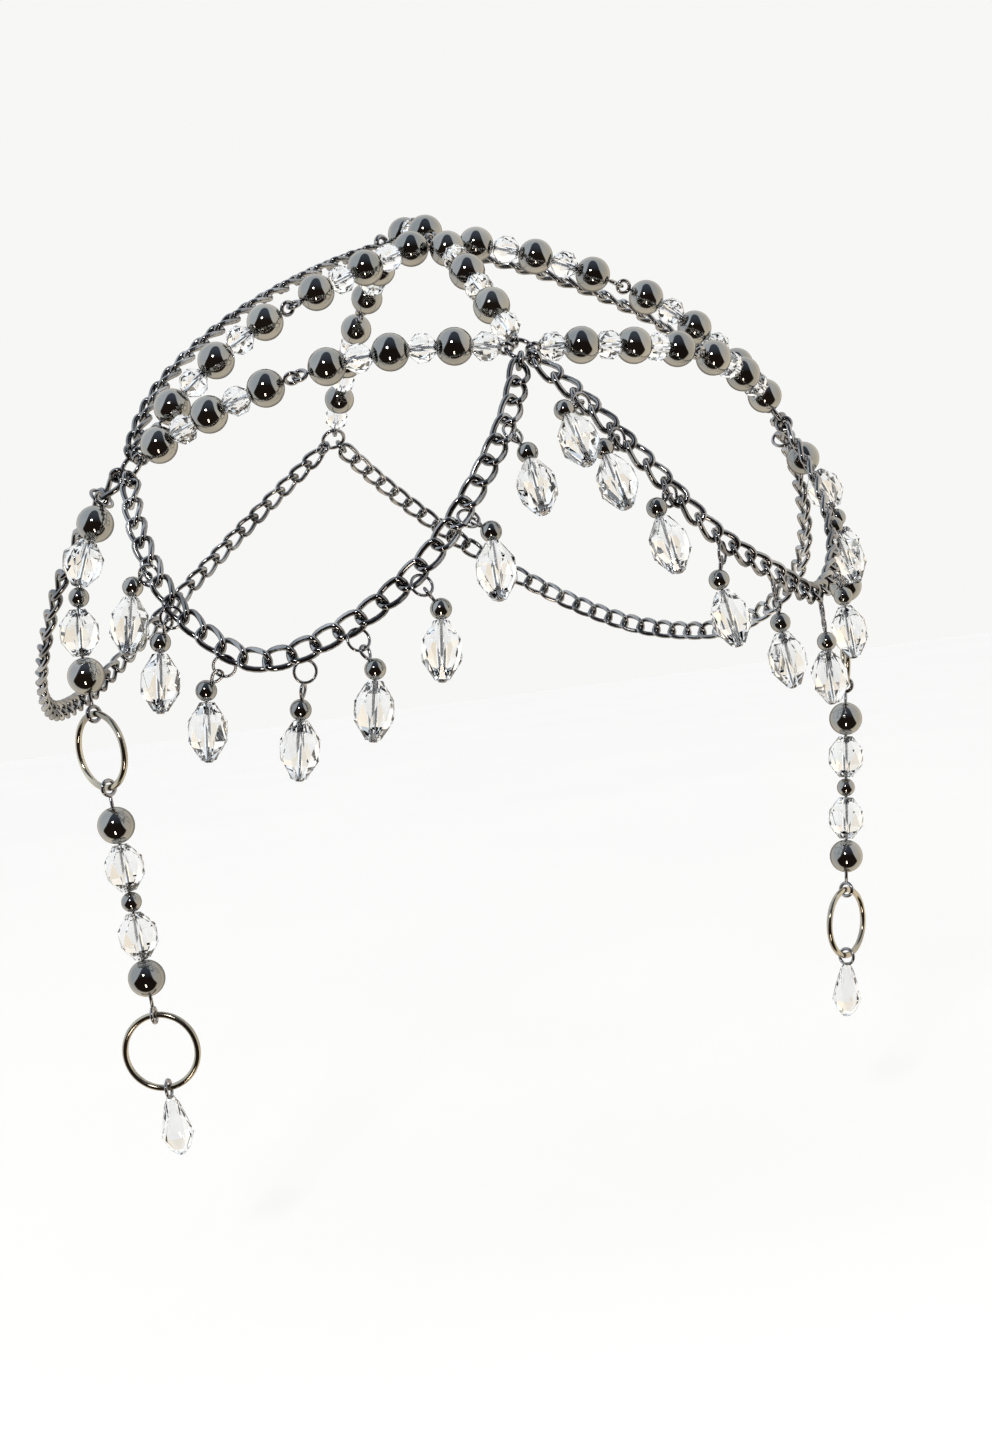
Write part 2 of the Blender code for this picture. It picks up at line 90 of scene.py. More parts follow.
# The floor and the light. A pale floor lies a little below the pendants. The room is a pale
# tent, darker in front, where the polished metal mirrors it, with one soft lamp high up in
# front and one low down.

FLOOR_DROP = 0.03
FLOOR_HALF = 3.0
FLOOR_ROUGHNESS = 0.9
FLOOR_MOTTLE_SCALE = 6.0
FLOOR_DARK = (0.965, 0.965, 0.965)
FLOOR_PALE = (1.0, 1.0, 0.995)
ROOM_PALE = (0.93, 0.93, 0.92, 1.0)
ROOM_COOL = (1.10, 1.22, 1.36, 1.0)
ROOM_WARM = (1.45, 1.31, 1.10, 1.0)
ROOM_DARK_HIGH = (0.13, 0.16, 0.22, 1.0)
ROOM_DARK_LOW = (0.035, 0.025, 0.02, 1.0)
WARM_SIDE = (0.55, 0.35, -0.55)
WARM_REACH = 0.6

# Angles from the way to the camera, in degrees, where the dark is full and where it ends
DARK_HALF_ANGLES = (84.0, 95.0)
DARK_TONE_HEIGHTS = (0.1, 0.9)
DARK_NARROWING_LOW = 0.15
DARK_NARROWING_HIGH = 3.0
NARROWING_HEIGHTS = (-0.4, 1.0)

# The same from the way straight on, for the dark that draws the outlines
EDGE_HALF_ANGLES = (12.0, 48.0)
EDGE_DARKNESS = 0.85
GLASS_DARKNESS = 0.4


def feed(tree, node, inputs):
    """The node, with each input set to a value or linked to the output given for it."""
    for name, value in inputs.items():
        if isinstance(value, bpy.types.NodeSocket):
            tree.links.new(value, node.inputs[name])
        else:
            node.inputs[name].default_value = value
    return node


def noise(tree, scale, detail=2.0):
    """Cloudy noise on the object's own coordinates."""
    place = tree.nodes.new("ShaderNodeTexCoord")
    cloud = tree.nodes.new("ShaderNodeTexNoise")
    feed(tree, cloud, {"Vector": place.outputs["Object"], "Scale": scale, "Detail": detail})
    return cloud.outputs["Fac"]


def tones(tree, share, *stops):
    """Colour read from a ramp between two stops, each a position and a colour."""
    ramp = feed(tree, tree.nodes.new("ShaderNodeValToRGB"), {"Fac": share})
    for element, (position, colour) in zip(ramp.color_ramp.elements, stops):
        element.position = position
        element.color = (*colour, 1.0)
    return ramp.outputs["Color"]


def carried(tree, value, start, end, low, high, curve="LINEAR"):
    """Value carried from the span start to end over to the span low to high, and held there."""
    span = tree.nodes.new("ShaderNodeMapRange")
    span.interpolation_type = curve
    feed(tree, span, {"Value": value, "From Min": start, "From Max": end, "To Min": low, "To Max": high})
    return span.outputs["Result"]


def new_finish(name):
    """Material, its node tree and its shader."""
    finish = bpy.data.materials.new(name)
    finish.use_nodes = True
    return finish, finish.node_tree, finish.node_tree.nodes["Principled BSDF"]


def pale_floor_finish():
    """Matt pale card with a faint unevenness."""
    finish, tree, shader = new_finish("pale_card")
    tone = tones(tree, noise(tree, FLOOR_MOTTLE_SCALE), (0.0, FLOOR_DARK), (1.0, FLOOR_PALE))
    feed(tree, shader, {"Base Color": tone, "Roughness": FLOOR_ROUGHNESS})
    return finish


def floor_sheet():
    """A square sheet under the object, its points the four corners of a plane."""
    height = packed_box[0].z - FLOOR_DROP
    corners = np.array([[-1.0, -1.0], [1.0, -1.0], [1.0, 1.0], [-1.0, 1.0]]) * FLOOR_HALF
    points = np.column_stack([corners, np.full(4, height)])
    mesh = bpy.data.meshes.new("floor")
    mesh.from_pydata(points.tolist(), [], [(0, 1, 2, 3)])
    mesh.materials.append(pale_floor_finish())
    sheet = bpy.data.objects.new("floor", mesh)
    bpy.context.scene.collection.objects.link(sheet)
    return sheet


def room_light():
    """World light: what metal and glass mirror is bright all round, cool above and warm below,
    and dark toward the camera, where the cosine of the angle, less a share of the squared
    sideways part that grows with the height, is large. Rays that run nearly straight on find
    it dark too, which draws the outlines. Glass shows less of the dark. Backdrop and floor
    light are even."""
    world = bpy.data.worlds.new("room")
    world.use_nodes = True
    tree = world.node_tree
    place = tree.nodes.new("ShaderNodeTexCoord").outputs["Generated"]
    ray = tree.nodes.new("ShaderNodeLightPath").outputs

    def along(direction):
        """Dot product of the ray and a direction."""
        product = tree.nodes.new("ShaderNodeVectorMath")
        product.operation = "DOT_PRODUCT"
        return feed(tree, product, {0: place, 1: tuple(direction)}).outputs["Value"]

    def reckoned(operation, *terms):
        """Result of one operation on numbers and outputs."""
        step = tree.nodes.new("ShaderNodeMath")
        step.operation = operation
        return feed(tree, step, dict(enumerate(terms))).outputs["Value"]

    def mixed(share, first, second):
        """Blend of two colours, by the share of the second."""
        blend = tree.nodes.new("ShaderNodeMix")
        blend.data_type = "RGBA"
        return feed(tree, blend, {"Factor": share, "A": first, "B": second}).outputs["Result"]

    toward = along(-ahead)
    across = along(camera_right)
    rise = along(camera_up)
    dark_full, dark_end = (math.cos(math.radians(angle)) for angle in DARK_HALF_ANGLES)
    edge_full, edge_end = (-math.cos(math.radians(angle)) for angle in EDGE_HALF_ANGLES)
    narrowing = carried(tree, rise, *NARROWING_HEIGHTS, -DARK_NARROWING_LOW, -DARK_NARROWING_HIGH)
    narrow = reckoned("MULTIPLY_ADD", reckoned("MULTIPLY", across, across), narrowing, toward)
    shade = carried(tree, narrow, dark_end, dark_full, 0.0, 1.0, "SMOOTHSTEP")
    edge = carried(tree, toward, edge_end, edge_full, 0.0, EDGE_DARKNESS)
    glass = reckoned("MULTIPLY_ADD", ray["Is Transmission Ray"], GLASS_DARKNESS - 1.0, 1.0)
    dark = reckoned("MULTIPLY", reckoned("MAXIMUM", shade, edge), glass)
    deep = mixed(carried(tree, rise, *DARK_TONE_HEIGHTS, 0.0, 1.0), ROOM_DARK_LOW, ROOM_DARK_HIGH)
    warmth = carried(tree, along(WARM_SIDE), -WARM_REACH, WARM_REACH, 0.0, 1.0)
    mirrored = mixed(dark, mixed(warmth, ROOM_COOL, ROOM_WARM), deep)
    even = reckoned("MAXIMUM", ray["Is Camera Ray"], ray["Is Diffuse Ray"])
    feed(tree, tree.nodes["Background"], {"Color": mixed(even, mirrored, ROOM_PALE)})
    bpy.context.scene.world = world


def soft_lamp(name, place, width, height, power, colour):
    """Flat lamp that faces the middle of the object."""
    lamp = bpy.data.lights.new(name, "AREA")
    lamp.shape = "RECTANGLE"
    lamp.size = width
    lamp.size_y = height
    lamp.energy = power
    lamp.color = colour
    holder = bpy.data.objects.new(name, lamp)
    middle = (packed_box[0] + packed_box[1]) / 2
    holder.location = place
    holder.rotation_mode = "QUATERNION"
    holder.rotation_quaternion = (middle - Vector(place)).to_track_quat("-Z", "Y")
    bpy.context.scene.collection.objects.link(holder)


floor = floor_sheet()
floor.visible_glossy = False
room_light()
bpy.context.scene.view_settings.view_transform = "Standard"
soft_lamp("lamp_over", (-0.55, -0.85, 0.35), width=0.16, height=0.16, power=2.4, colour=(1.0, 0.98, 0.95))
soft_lamp("lamp_low", (-0.38, -0.80, -0.85), width=0.11, height=0.36, power=2.4, colour=(1.0, 0.86, 0.72))

# The meeting rings. Six small rings of round gunmetal wire, closed and polished, join the
# strings and chains over the dome. Each is one torus, its wire circle carried round.

MM = 0.001
DOME_HALF_WIDTH = 95.0
DOME_FRONT_DEPTH = 85.5
DOME_BACK_DEPTH = 98.0
DOME_HALF_HEIGHT = 86.0
DOME_MIDDLE = np.array([0.0, 0.0, -DOME_HALF_HEIGHT])
JUNCTION_DIAMETER = 7.0
JUNCTION_WIRE = 1.0
JUNCTION_MIDDLE = (JUNCTION_DIAMETER - JUNCTION_WIRE) / 2
JUNCTION_SEAM_SIDE = np.array([0.3, 0.5, 0.8])

# Bearing from the front and latitude in degrees, then height above the dome that all follow
JUNCTIONS = {
    "front": (0, 40.3, 3.0),
    "crown": (0, 74.0, 7.0),
    "rear_crown": (180, 86.5, 9.5),
    "back": (180, 36.0, 3.0),
    "left": (67.5, 27.0, 3.0),
    "right": (-67.5, 27.0, 3.0),
}

# The plating: size of its clouds and scratches per metre, and how deep the scratches are
CLOUD_SCALE = 90.0
CLOUD_DETAIL = 3.0
CLOUD_DARK_TO = 0.35
CLOUD_PALE_FROM = 0.75
SCRATCH_SCALE = 2200.0
SCRATCH_SPAN = (0.4, 0.8)
SCRATCH_STRENGTH = 0.25
SCRATCH_DEPTH = 0.00002


def unit(vectors):
    """Vectors divided by their lengths."""
    vectors = np.asarray(vectors, float)
    return vectors / np.linalg.norm(vectors, axis=-1, keepdims=True)


def square_to(vectors, others):
    """Vectors less their part along the others, at unit length."""
    return unit(vectors - others * np.sum(vectors * others, axis=-1, keepdims=True))


def bearing_direction(bearing, latitude):
    """Direction from the dome's middle: minus the sine and the cosine of the bearing, both
    times the cosine of the latitude, and upward its sine."""
    turn = np.radians(bearing)
    rise = np.radians(latitude)
    return np.stack([-np.sin(turn) * np.cos(rise), -np.cos(turn) * np.cos(rise), np.sin(rise)], -1)


def dome_halves(points):
    """Half sizes of the dome, deeper behind than in front."""
    width = np.full(points.shape[:-1], DOME_HALF_WIDTH)
    depth = np.where(points[..., 1] > 0, DOME_BACK_DEPTH, DOME_FRONT_DEPTH)
    height = np.full(points.shape[:-1], DOME_HALF_HEIGHT)
    return np.stack([width, depth, height], -1)


def above_dome(directions, heights):
    """Point where the direction meets the ellipsoid, plus the height along its normal."""
    halves = dome_halves(directions)
    reach = 1.0 / np.linalg.norm(directions / halves, axis=-1, keepdims=True)
    points = directions * reach
    return points + unit(points / halves**2) * np.asarray(heights, float)[..., None] + DOME_MIDDLE


def outward(points):
    """Normal of the ellipsoid: the point from the middle over the squared half sizes."""
    return unit((points - DOME_MIDDLE) / dome_halves(points) ** 2)


def junction_point(name):
    """Middle of a meeting ring."""
    bearing, latitude, height = JUNCTIONS[name]
    return above_dome(bearing_direction(bearing, latitude), height)


def closed_faces(rows, columns):
    """Four-sided faces of a grid that closes on itself both ways."""
    corner = np.arange(rows * columns).reshape(rows, columns)
    after = np.roll(corner, -1, axis=1)
    below = np.roll(corner, -1, axis=0)
    across = np.roll(below, -1, axis=1)
    return np.stack([corner, after, across, below], -1).reshape(-1, 4)


def facing_out(points, faces):
    """The faces, turned round where the volume that they enclose comes out negative."""
    a, b, c = (points[faces[:, corner]] for corner in range(3))
    volume = np.sum(a * np.cross(b, c))
    if faces.shape[1] == 4:
        volume += np.sum(a * np.cross(c, points[faces[:, 3]]))
    return faces[:, ::-1] if volume < 0 else faces


def wire_loop(middle_line, inward, wire_radius, sides):
    """Closed wire: a circle of the wire's radius carried round a closed line."""
    along = unit(np.roll(middle_line, -1, axis=0) - np.roll(middle_line, 1, axis=0))
    inward = square_to(inward, along)
    side = np.cross(along, inward)
    turn = np.linspace(0, 2 * np.pi, sides, endpoint=False)[None, :, None]
    circle = np.cos(turn) * inward[:, None] + np.sin(turn) * side[:, None]
    points = (middle_line[:, None] + wire_radius * circle).reshape(-1, 3)
    faces = facing_out(points, closed_faces(len(middle_line), sides))
    return points, faces, np.ones(len(faces), bool)


def round_loop(middle_radius, wire_radius, around, sides):
    """Ring in the plane of the first two axes, its axis the third."""
    turn = np.linspace(0, 2 * np.pi, around, endpoint=False)
    circle = np.column_stack([np.cos(turn), np.sin(turn), np.zeros(around)])
    return wire_loop(circle * middle_radius, -circle, wire_radius, sides)


def axes_about(axis, near):
    """Rows of three axes: the first near a given direction, the last along the axis."""
    axis = unit(axis)
    first = square_to(near, axis)
    return np.stack([first, np.cross(axis, first), axis], -2)


def copies(shape, middles, axes):
    """One shape set at each middle, its own axes turned to the rows given."""
    points, faces, smooth = shape
    middles = np.atleast_2d(middles)
    axes = np.asarray(axes).reshape(-1, 3, 3)
    placed = middles[:, None, :] + points @ axes
    shift = np.arange(len(middles))[:, None, None] * len(points)
    faces = (faces[None] + shift).reshape(-1, faces.shape[1])
    return placed.reshape(-1, 3), faces, np.tile(smooth, len(middles))


def piece(name, shapes, finish, slot, *nodes):
    """Object of several shapes in one mesh, riding on the part and standing for its nodes."""
    points = np.concatenate([shape[0] for shape in shapes]) * MM
    faces = []
    count = 0
    for shape in shapes:
        faces += (shape[1] + count).tolist()
        count += len(shape[0])
    mesh = bpy.data.meshes.new(name)
    mesh.from_pydata(points.tolist(), [], faces)
    mesh.polygons.foreach_set("use_smooth", np.concatenate([shape[2] for shape in shapes]))
    mesh.materials.append(finish)
    made = bpy.data.objects.new(name, mesh)
    bpy.context.scene.collection.objects.link(made)
    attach(made, "root")
    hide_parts(*nodes)


def gunmetal(name, dark, pale, rough, wear):
    """Polished black plating: a dark mirror with cloudy tone, fine scratches and worn spots."""
    finish, tree, shader = new_finish(name)
    cloud = noise(tree, CLOUD_SCALE, CLOUD_DETAIL)
    scratch = noise(tree, SCRATCH_SCALE)
    dents = tree.nodes.new("ShaderNodeBump")
    feed(tree, dents, {"Height": scratch, "Strength": SCRATCH_STRENGTH, "Distance": SCRATCH_DEPTH})
    looks = {
        "Metallic": 1.0,
        "Base Color": tones(tree, cloud, (CLOUD_DARK_TO, dark), (CLOUD_PALE_FROM, pale)),
        "Roughness": carried(tree, scratch, *SCRATCH_SPAN, rough, rough + wear),
        "Normal": dents.outputs["Normal"],
    }
    feed(tree, shader, looks)
    return finish


wire_finish = gunmetal(
    "gunmetal_wire", dark=(0.18, 0.18, 0.19), pale=(0.42, 0.41, 0.40), rough=0.05, wear=0.08
)
junction_loop = round_loop(JUNCTION_MIDDLE, JUNCTION_WIRE / 2, around=36, sides=12)
for place in JUNCTIONS:
    middle = junction_point(place)
    ring = copies(junction_loop, middle, axes_about(outward(middle), JUNCTION_SEAM_SIDE))
    node = f"junction_ring_{place}"
    piece(f"{node}_wire", [ring], wire_finish, "gunmetal_wire", node)

# The bead strings. Seven strings of drilled gunmetal balls, threaded in turn with clear
# faceted stones on thin wire. Balls are a drilled sphere, its outline turned about the wire.

BALL_DIAMETER = 8.0
BALL_BORE = 1.2
STRING_WIRE = 0.8
LOOP_WIDTH = 3.7
LOOP_WIRE = 0.9
LOOP_MIDDLE = (LOOP_WIDTH - LOOP_WIRE) / 2
LOOP_SEAT = 0.1
STRING_STONE_WIDTH = 6.2
STRING_STONE_ROOM = 5.2
ROUTE_SAMPLES = 240
ROUTE_STEP = 0.7

# Routes between two meeting rings as bearing, latitude and height of the points between
ROUTES = {
    "front_string_left": ("front", [(23, 40.7, 4.3), (46, 35.6, 4.3)], "left"),
    "front_string_right": ("front", [(-21, 38.9, 4.3), (-45, 35.6, 4.3)], "right"),
    "crown_string_left": ("crown", [(39, 61.0, 4.4), (57, 44.5, 4.2)], "left"),
    "crown_string_right": ("crown", [(-39, 62.0, 5.0), (-57, 46.0, 4.3)], "right"),
    "crown_string_front": ("front", [(2, 57.0, 4.6)], "crown"),
    "crown_string_rear": ("crown", [(0, 83.0, 9.4)], "rear_crown"),
    "back_string": ("rear_crown", [(180, 60.0, 4.3)], "back"),
    "front_swag_left": (
        "front",
        [
            (4, 32, 3),
            (12, 19.9, 3),
            (22, 8.5, 3),
            (32, 2.2, 3),
            (44, -0.5, 3),
            (53, 5.4, 3),
            (60.5, 15, 3),
        ],
        "left",
    ),
    "front_swag_right": (
        "front",
        [
            (-5.5, 33, 3),
            (-13, 21, 3),
            (-23, 8.5, 3),
            (-33, 3, 3),
            (-44, -0.5, 3),
            (-54, 4, 3),
            (-61.5, 14, 3),
        ],
        "right",
    ),
}

# The same for the chains that are alike on both sides, from the side ring on
MIRRORED_ROUTES = {
    "rear_swag": (
        [
            (72.5, 24, 2.4),
            (79, 15.5, 2.2),
            (88, 4.5, 2.2),
            (106, -4, 2.2),
            (126, -3, 2.2),
            (148, 8, 2.2),
            (167, 24, 2.2),
        ],
        "back",
    ),
    "crown_chain": ([(74, 41, 2.2), (76.5, 56, 2.2), (80, 71, 3.8)], "rear_crown"),
}
SIDES = {"left": 1, "right": -1}
for kind, (between, end) in MIRRORED_ROUTES.items():
    for side, sign in SIDES.items():
        points = [(sign * bearing, latitude, height) for bearing, latitude, height in between]
        ROUTES[f"{kind}_{side}"] = (side, points, end)

# What each string carries in order: b a ball, c a clear stone, l a pair of linked loops
STRING_ITEMS = {
    "front_string_left": "cbcbcblbcbcb",
    "front_string_right": "cbcbcblbcbcb",
    "crown_string_left": "bcbcblbcbcbl",
    "crown_string_right": "bcbcblbcbcbl",
    "crown_string_front": "cbcbcb",
    "crown_string_rear": "bcb",
    "back_string": "cbcblbcbcbc",
}

# Room that the first or last item of a string keeps from the end loop
ITEM_ROOMS = {"b": BALL_DIAMETER / 2, "c": STRING_STONE_ROOM / 2, "l": LOOP_WIDTH}


def smooth_rows(values, count):
    """Even samples of a cubic that passes through the rows, its slopes their differences."""
    values = np.asarray(values, float)
    steps = np.linalg.norm(np.diff(values[:, :3], axis=0), axis=1)
    knots = np.concatenate([[0.0], np.cumsum(steps)])
    slopes = np.gradient(values, knots, axis=0, edge_order=2 if len(values) > 2 else 1)
    samples = np.linspace(0.0, knots[-1], count)
    index = np.clip(np.searchsorted(knots, samples, side="right") - 1, 0, len(knots) - 2)
    span = (knots[index + 1] - knots[index])[:, None]
    share = (samples[:, None] - knots[index][:, None]) / span
    square = share**2
    cube = share**3
    return (
        (2 * cube - 3 * square + 1) * values[index]
        + (cube - 2 * square + share) * span * slopes[index]
        + (3 * square - 2 * cube) * values[index + 1]
        + (cube - square) * span * slopes[index + 1]
    )


class Route:
    """A line through points that is read by distance from its start."""

    def __init__(self, points):
        self.points = np.asarray(points, float)
        steps = np.linalg.norm(np.diff(self.points, axis=0), axis=1)
        self.distances = np.concatenate([[0.0], np.cumsum(steps)])
        self.length = float(self.distances[-1])

    def at(self, distances):
        """Points at the distances."""
        columns = [np.interp(distances, self.distances, column) for column in self.points.T]
        return np.stack(columns, -1)

    def along(self, distances):
        """Directions of travel at the distances, between the points a step before and after."""
        distances = np.asarray(distances, float)
        before = self.at(np.maximum(distances - ROUTE_STEP, 0.0))
        return unit(self.at(np.minimum(distances + ROUTE_STEP, self.length)) - before)

    def axes(self, distances):
        """Rows of three axes at the distances: along, sideways and out from the dome."""
        along = self.along(distances)
        out = square_to(outward(self.at(distances)), along)
        return np.stack([along, np.cross(out, along), out], -2)


def over_dome(rows, count):
    """Points of a smooth line over the dome, from rows of direction and height."""
    samples = smooth_rows(rows, count)
    return above_dome(unit(samples[:, :3]), samples[:, 3])


def dome_route(name):
    """Line of a string or chain over the dome, from its row in the table."""
    start, between, end = ROUTES[name]
    rows = np.array([JUNCTIONS[start], *between, JUNCTIONS[end]], float)
    controls = np.column_stack([bearing_direction(rows[:, 0], rows[:, 1]), rows[:, 2]])
    return Route(over_dome(controls, ROUTE_SAMPLES))


def turned(outline, sides):
    """Bead whose closed outline of distance and radius is turned about the first axis."""
    turn = np.linspace(0, 2 * np.pi, sides, endpoint=False)
    across = np.stack([np.cos(turn), np.sin(turn)], -1)
    along = np.repeat(outline[:, :1, None], sides, axis=1)
    points = np.concatenate([along, outline[:, 1, None, None] * across[None]], -1).reshape(-1, 3)
    return points, facing_out(points, closed_faces(len(outline), sides))


def drilled_ball(diameter, bore, rows, sides):
    """Sphere between its two hole edges, and a straight bore back to the start."""
    radius = diameter / 2
    edge = math.asin(bore / 2 / radius)
    rise = np.linspace(edge, np.pi - edge, rows)
    outline = np.column_stack([-radius * np.cos(rise), radius * np.sin(rise)])
    points, faces = turned(outline, sides)
    smooth = np.ones(len(faces), bool)
    smooth[-sides:] = False
    return points, faces, smooth


def places_of(name, route, kind):
    """Distances of one kind of item, when all are spread evenly between the two end loops."""
    items = STRING_ITEMS[name]
    reach = JUNCTION_MIDDLE + LOOP_MIDDLE + LOOP_WIRE / 2 - LOOP_SEAT
    first = reach + ITEM_ROOMS[items[0]]
    last = route.length - reach - ITEM_ROOMS[items[-1]]
    chosen = np.array([item == kind for item in items])
    return np.linspace(first, last, len(items))[chosen]


ball_finish = gunmetal(
    "gunmetal_ball", dark=(0.22, 0.22, 0.21), pale=(0.33, 0.32, 0.295), rough=0.03, wear=0.05
)
string_ball = drilled_ball(BALL_DIAMETER, BALL_BORE, rows=18, sides=32)
for name in STRING_ITEMS:
    route = dome_route(name)
    places = places_of(name, route, "b")
    balls = copies(string_ball, route.at(places), route.axes(places))
    piece(f"{name}_balls", [balls], ball_finish, "gunmetal_beads", name)

# The small stones of the strings. Clear glass, ground with two rows of triangles round a
# belt and a flat table at each end, and drilled for the wire that shows through them.

STRING_STONE_LENGTH = 5.7
STRING_STONE_TABLE = 2.9
STRING_STONE_BELT = 0.4
STONE_BORE = 1.0
STONE_SIDES = 8
STONE_PALE = (0.96, 0.96, 0.96)
STONE_REFRACTION = 1.54
HAZE_SCALE = 260.0

# How far each row of a cut stone is turned on, in facets
CUT_LAG = np.array([0.0, 0.0, 0.5, 0.0, 0.5, 0.0])


def faceted(rows, lag, sides, bands):
    """Corners of rows of distance and radius round the first axis, each row turned on by its
    lag in facets, and two triangles for every face in the bands between them. They split a
    face along one diagonal or, where the next row lags less, along the other."""
    turn = 2 * np.pi * (np.arange(sides)[None] + lag[:, None]) / sides
    along = np.repeat(rows[:, :1], sides, axis=1)
    radius = rows[:, 1, None]
    points = np.stack([along, radius * np.cos(turn), radius * np.sin(turn)], -1).reshape(-1, 3)
    corner, after, across, below = closed_faces(len(rows), sides)[: bands * sides].T
    falls = np.repeat(np.roll(lag, -1) < lag, sides)[: bands * sides, None]
    first = np.where(falls, np.stack([corner, across, below], -1), np.stack([corner, after, below], -1))
    second = np.where(falls, np.stack([corner, after, across], -1), np.stack([after, across, below], -1))
    return points, np.concatenate([first, second])


def cut_stone(width, length, table, belt):
    """Stone whose rows are hole, table edge, two belts, table edge and hole, the third and the
    fifth half a facet on, so that triangles point by turns one way and the other. A straight
    bore leads back to the start."""
    half = length / 2
    rows = np.array(
        [
            (-half, STONE_BORE / 2),
            (-half, table / 2),
            (-half * belt, width / 2),
            (half * belt, width / 2),
            (half, table / 2),
            (half, STONE_BORE / 2),
        ]
    )
    points, faces = faceted(rows, CUT_LAG, STONE_SIDES, bands=len(rows))
    return points, facing_out(points, faces), np.zeros(len(faces), bool)


def clear_stone(name, tint, cloudy):
    """Clear glass: slightly tinted, with a trace of polish marks in its gloss."""
    finish, tree, shader = new_finish(name)
    haze = noise(tree, HAZE_SCALE)
    looks = {
        "Transmission Weight": 1.0,
        "IOR": STONE_REFRACTION,
        "Base Color": tones(tree, haze, (0.0, tint), (1.0, STONE_PALE)),
        "Roughness": carried(tree, haze, 0.0, 1.0, 0.0, cloudy),
    }
    feed(tree, shader, looks)
    return finish


stone_finish = clear_stone("clear_stone", tint=(0.84, 0.85, 0.86), cloudy=0.03)
string_stone = cut_stone(STRING_STONE_WIDTH, STRING_STONE_LENGTH, STRING_STONE_TABLE, STRING_STONE_BELT)
for name in STRING_ITEMS:
    route = dome_route(name)
    places = places_of(name, route, "c")
    stones = copies(string_stone, route.at(places), route.axes(places))
    piece(f"{name}_stones", [stones], stone_finish, "clear_stone", name)

# The wire of the strings. Thin gunmetal wire runs through the bores and is turned to an eye
# loop at each end, which grips a meeting ring or the loop of the next length.

WIRE_SIDES = 8
WIRE_STEP = 2.5
WIRE_FEWEST_STEPS = 4
WIRE_TIP = 0.2
WIRE_TIP_SHARE = 0.5
LOOP_PLAY = 0.1
LINKED_GAP = LOOP_MIDDLE * 2 - LOOP_WIRE - LOOP_PLAY

# The three four-sided faces that close a circle of eight corners
WIRE_CAP = np.array([(0, 1, 2, 3), (0, 3, 4, 7), (4, 5, 6, 7)])


def wire_stretch(route, start, end, wire_radius):
    """Wire between two distances of a route: circles of corners square to the line, with a
    narrower one a tip beyond each end, where the cap closes it."""
    inner = np.linspace(start, end, max(WIRE_FEWEST_STEPS, int((end - start) / WIRE_STEP)))
    centres = route.at(np.concatenate([[start - WIRE_TIP], inner, [end + WIRE_TIP]]))
    along = unit(np.gradient(centres, axis=0))
    up = square_to(outward(centres), along)
    side = np.cross(along, up)
    radii = np.full(len(centres), wire_radius)
    radii[[0, -1]] = wire_radius * WIRE_TIP_SHARE
    turn = np.linspace(0, 2 * np.pi, WIRE_SIDES, endpoint=False)[None, :, None]
    circle = np.cos(turn) * up[:, None] + np.sin(turn) * side[:, None]
    points = (centres[:, None] + radii[:, None, None] * circle).reshape(-1, 3)
    last = WIRE_SIDES * (len(centres) - 1)
    tube = closed_faces(len(centres), WIRE_SIDES)[:last]
    faces = np.concatenate([tube, WIRE_CAP[:, ::-1], WIRE_CAP + last])
    return points, facing_out(points, faces), np.ones(len(faces), bool)


def end_loops(name, route, reach):
    """Middles and axes of the two loops that lie the reach away from a route's meeting rings."""
    start, _, end = ROUTES[name]
    middles = []
    axes = []
    for place, distance in ((start, reach), (end, route.length - reach)):
        ring = junction_point(place)
        normal = outward(ring)
        flat = square_to(route.at(distance) - ring, normal)
        middles.append(ring + flat * reach)
        axes.append(axes_about(np.cross(flat, normal), flat))
    return middles, axes


def eye_loops(name, route):
    """Middles and axes of the loops of one string, and the stretches of wire between them."""
    middles, axes = end_loops(name, route, JUNCTION_MIDDLE)
    reach = LINKED_GAP / 2 + LOOP_MIDDLE
    edges = [JUNCTION_MIDDLE + LOOP_MIDDLE]
    for place in places_of(name, route, "l"):
        along, sideways, out = route.axes(place)
        for step, axis in ((-LINKED_GAP / 2, out), (LINKED_GAP / 2, sideways)):
            middles.append(route.at(place + step))
            axes.append(axes_about(axis, along))
        edges += [place - reach, place + reach]
    edges.append(route.length - JUNCTION_MIDDLE - LOOP_MIDDLE)
    return middles, axes, np.reshape(edges, (-1, 2))


eye_loop = round_loop(LOOP_MIDDLE, LOOP_WIRE / 2, around=22, sides=8)
for name in STRING_ITEMS:
    route = dome_route(name)
    middles, axes, edges = eye_loops(name, route)
    shapes = [copies(eye_loop, middles, axes)]
    shapes += [wire_stretch(route, start, end, STRING_WIRE / 2) for start, end in edges]
    piece(f"{name}_wire", shapes, wire_finish, "gunmetal_wire", name)

# The curb chains. Six chains of oval gunmetal links, each twisted so that it lies flat on its
# neighbours, joined to the meeting rings by a jump ring. One link is copied along each route.

LINK_LENGTH = 7.8
LINK_WIDTH = 5.2
LINK_WIRE = 1.25
LINK_PITCH = 5.25
LINK_TWIST = math.radians(35)
LINK_SQUARENESS = 3.0
JUMP_RING_DIAMETER = 4.4
JUMP_RING_PLACE = 3.8


def squared(wave):
    """Sine or cosine raised to a power below one, which squares the corners of its circle."""
    return np.sign(wave) * np.abs(wave) ** (2 / LINK_SQUARENESS)


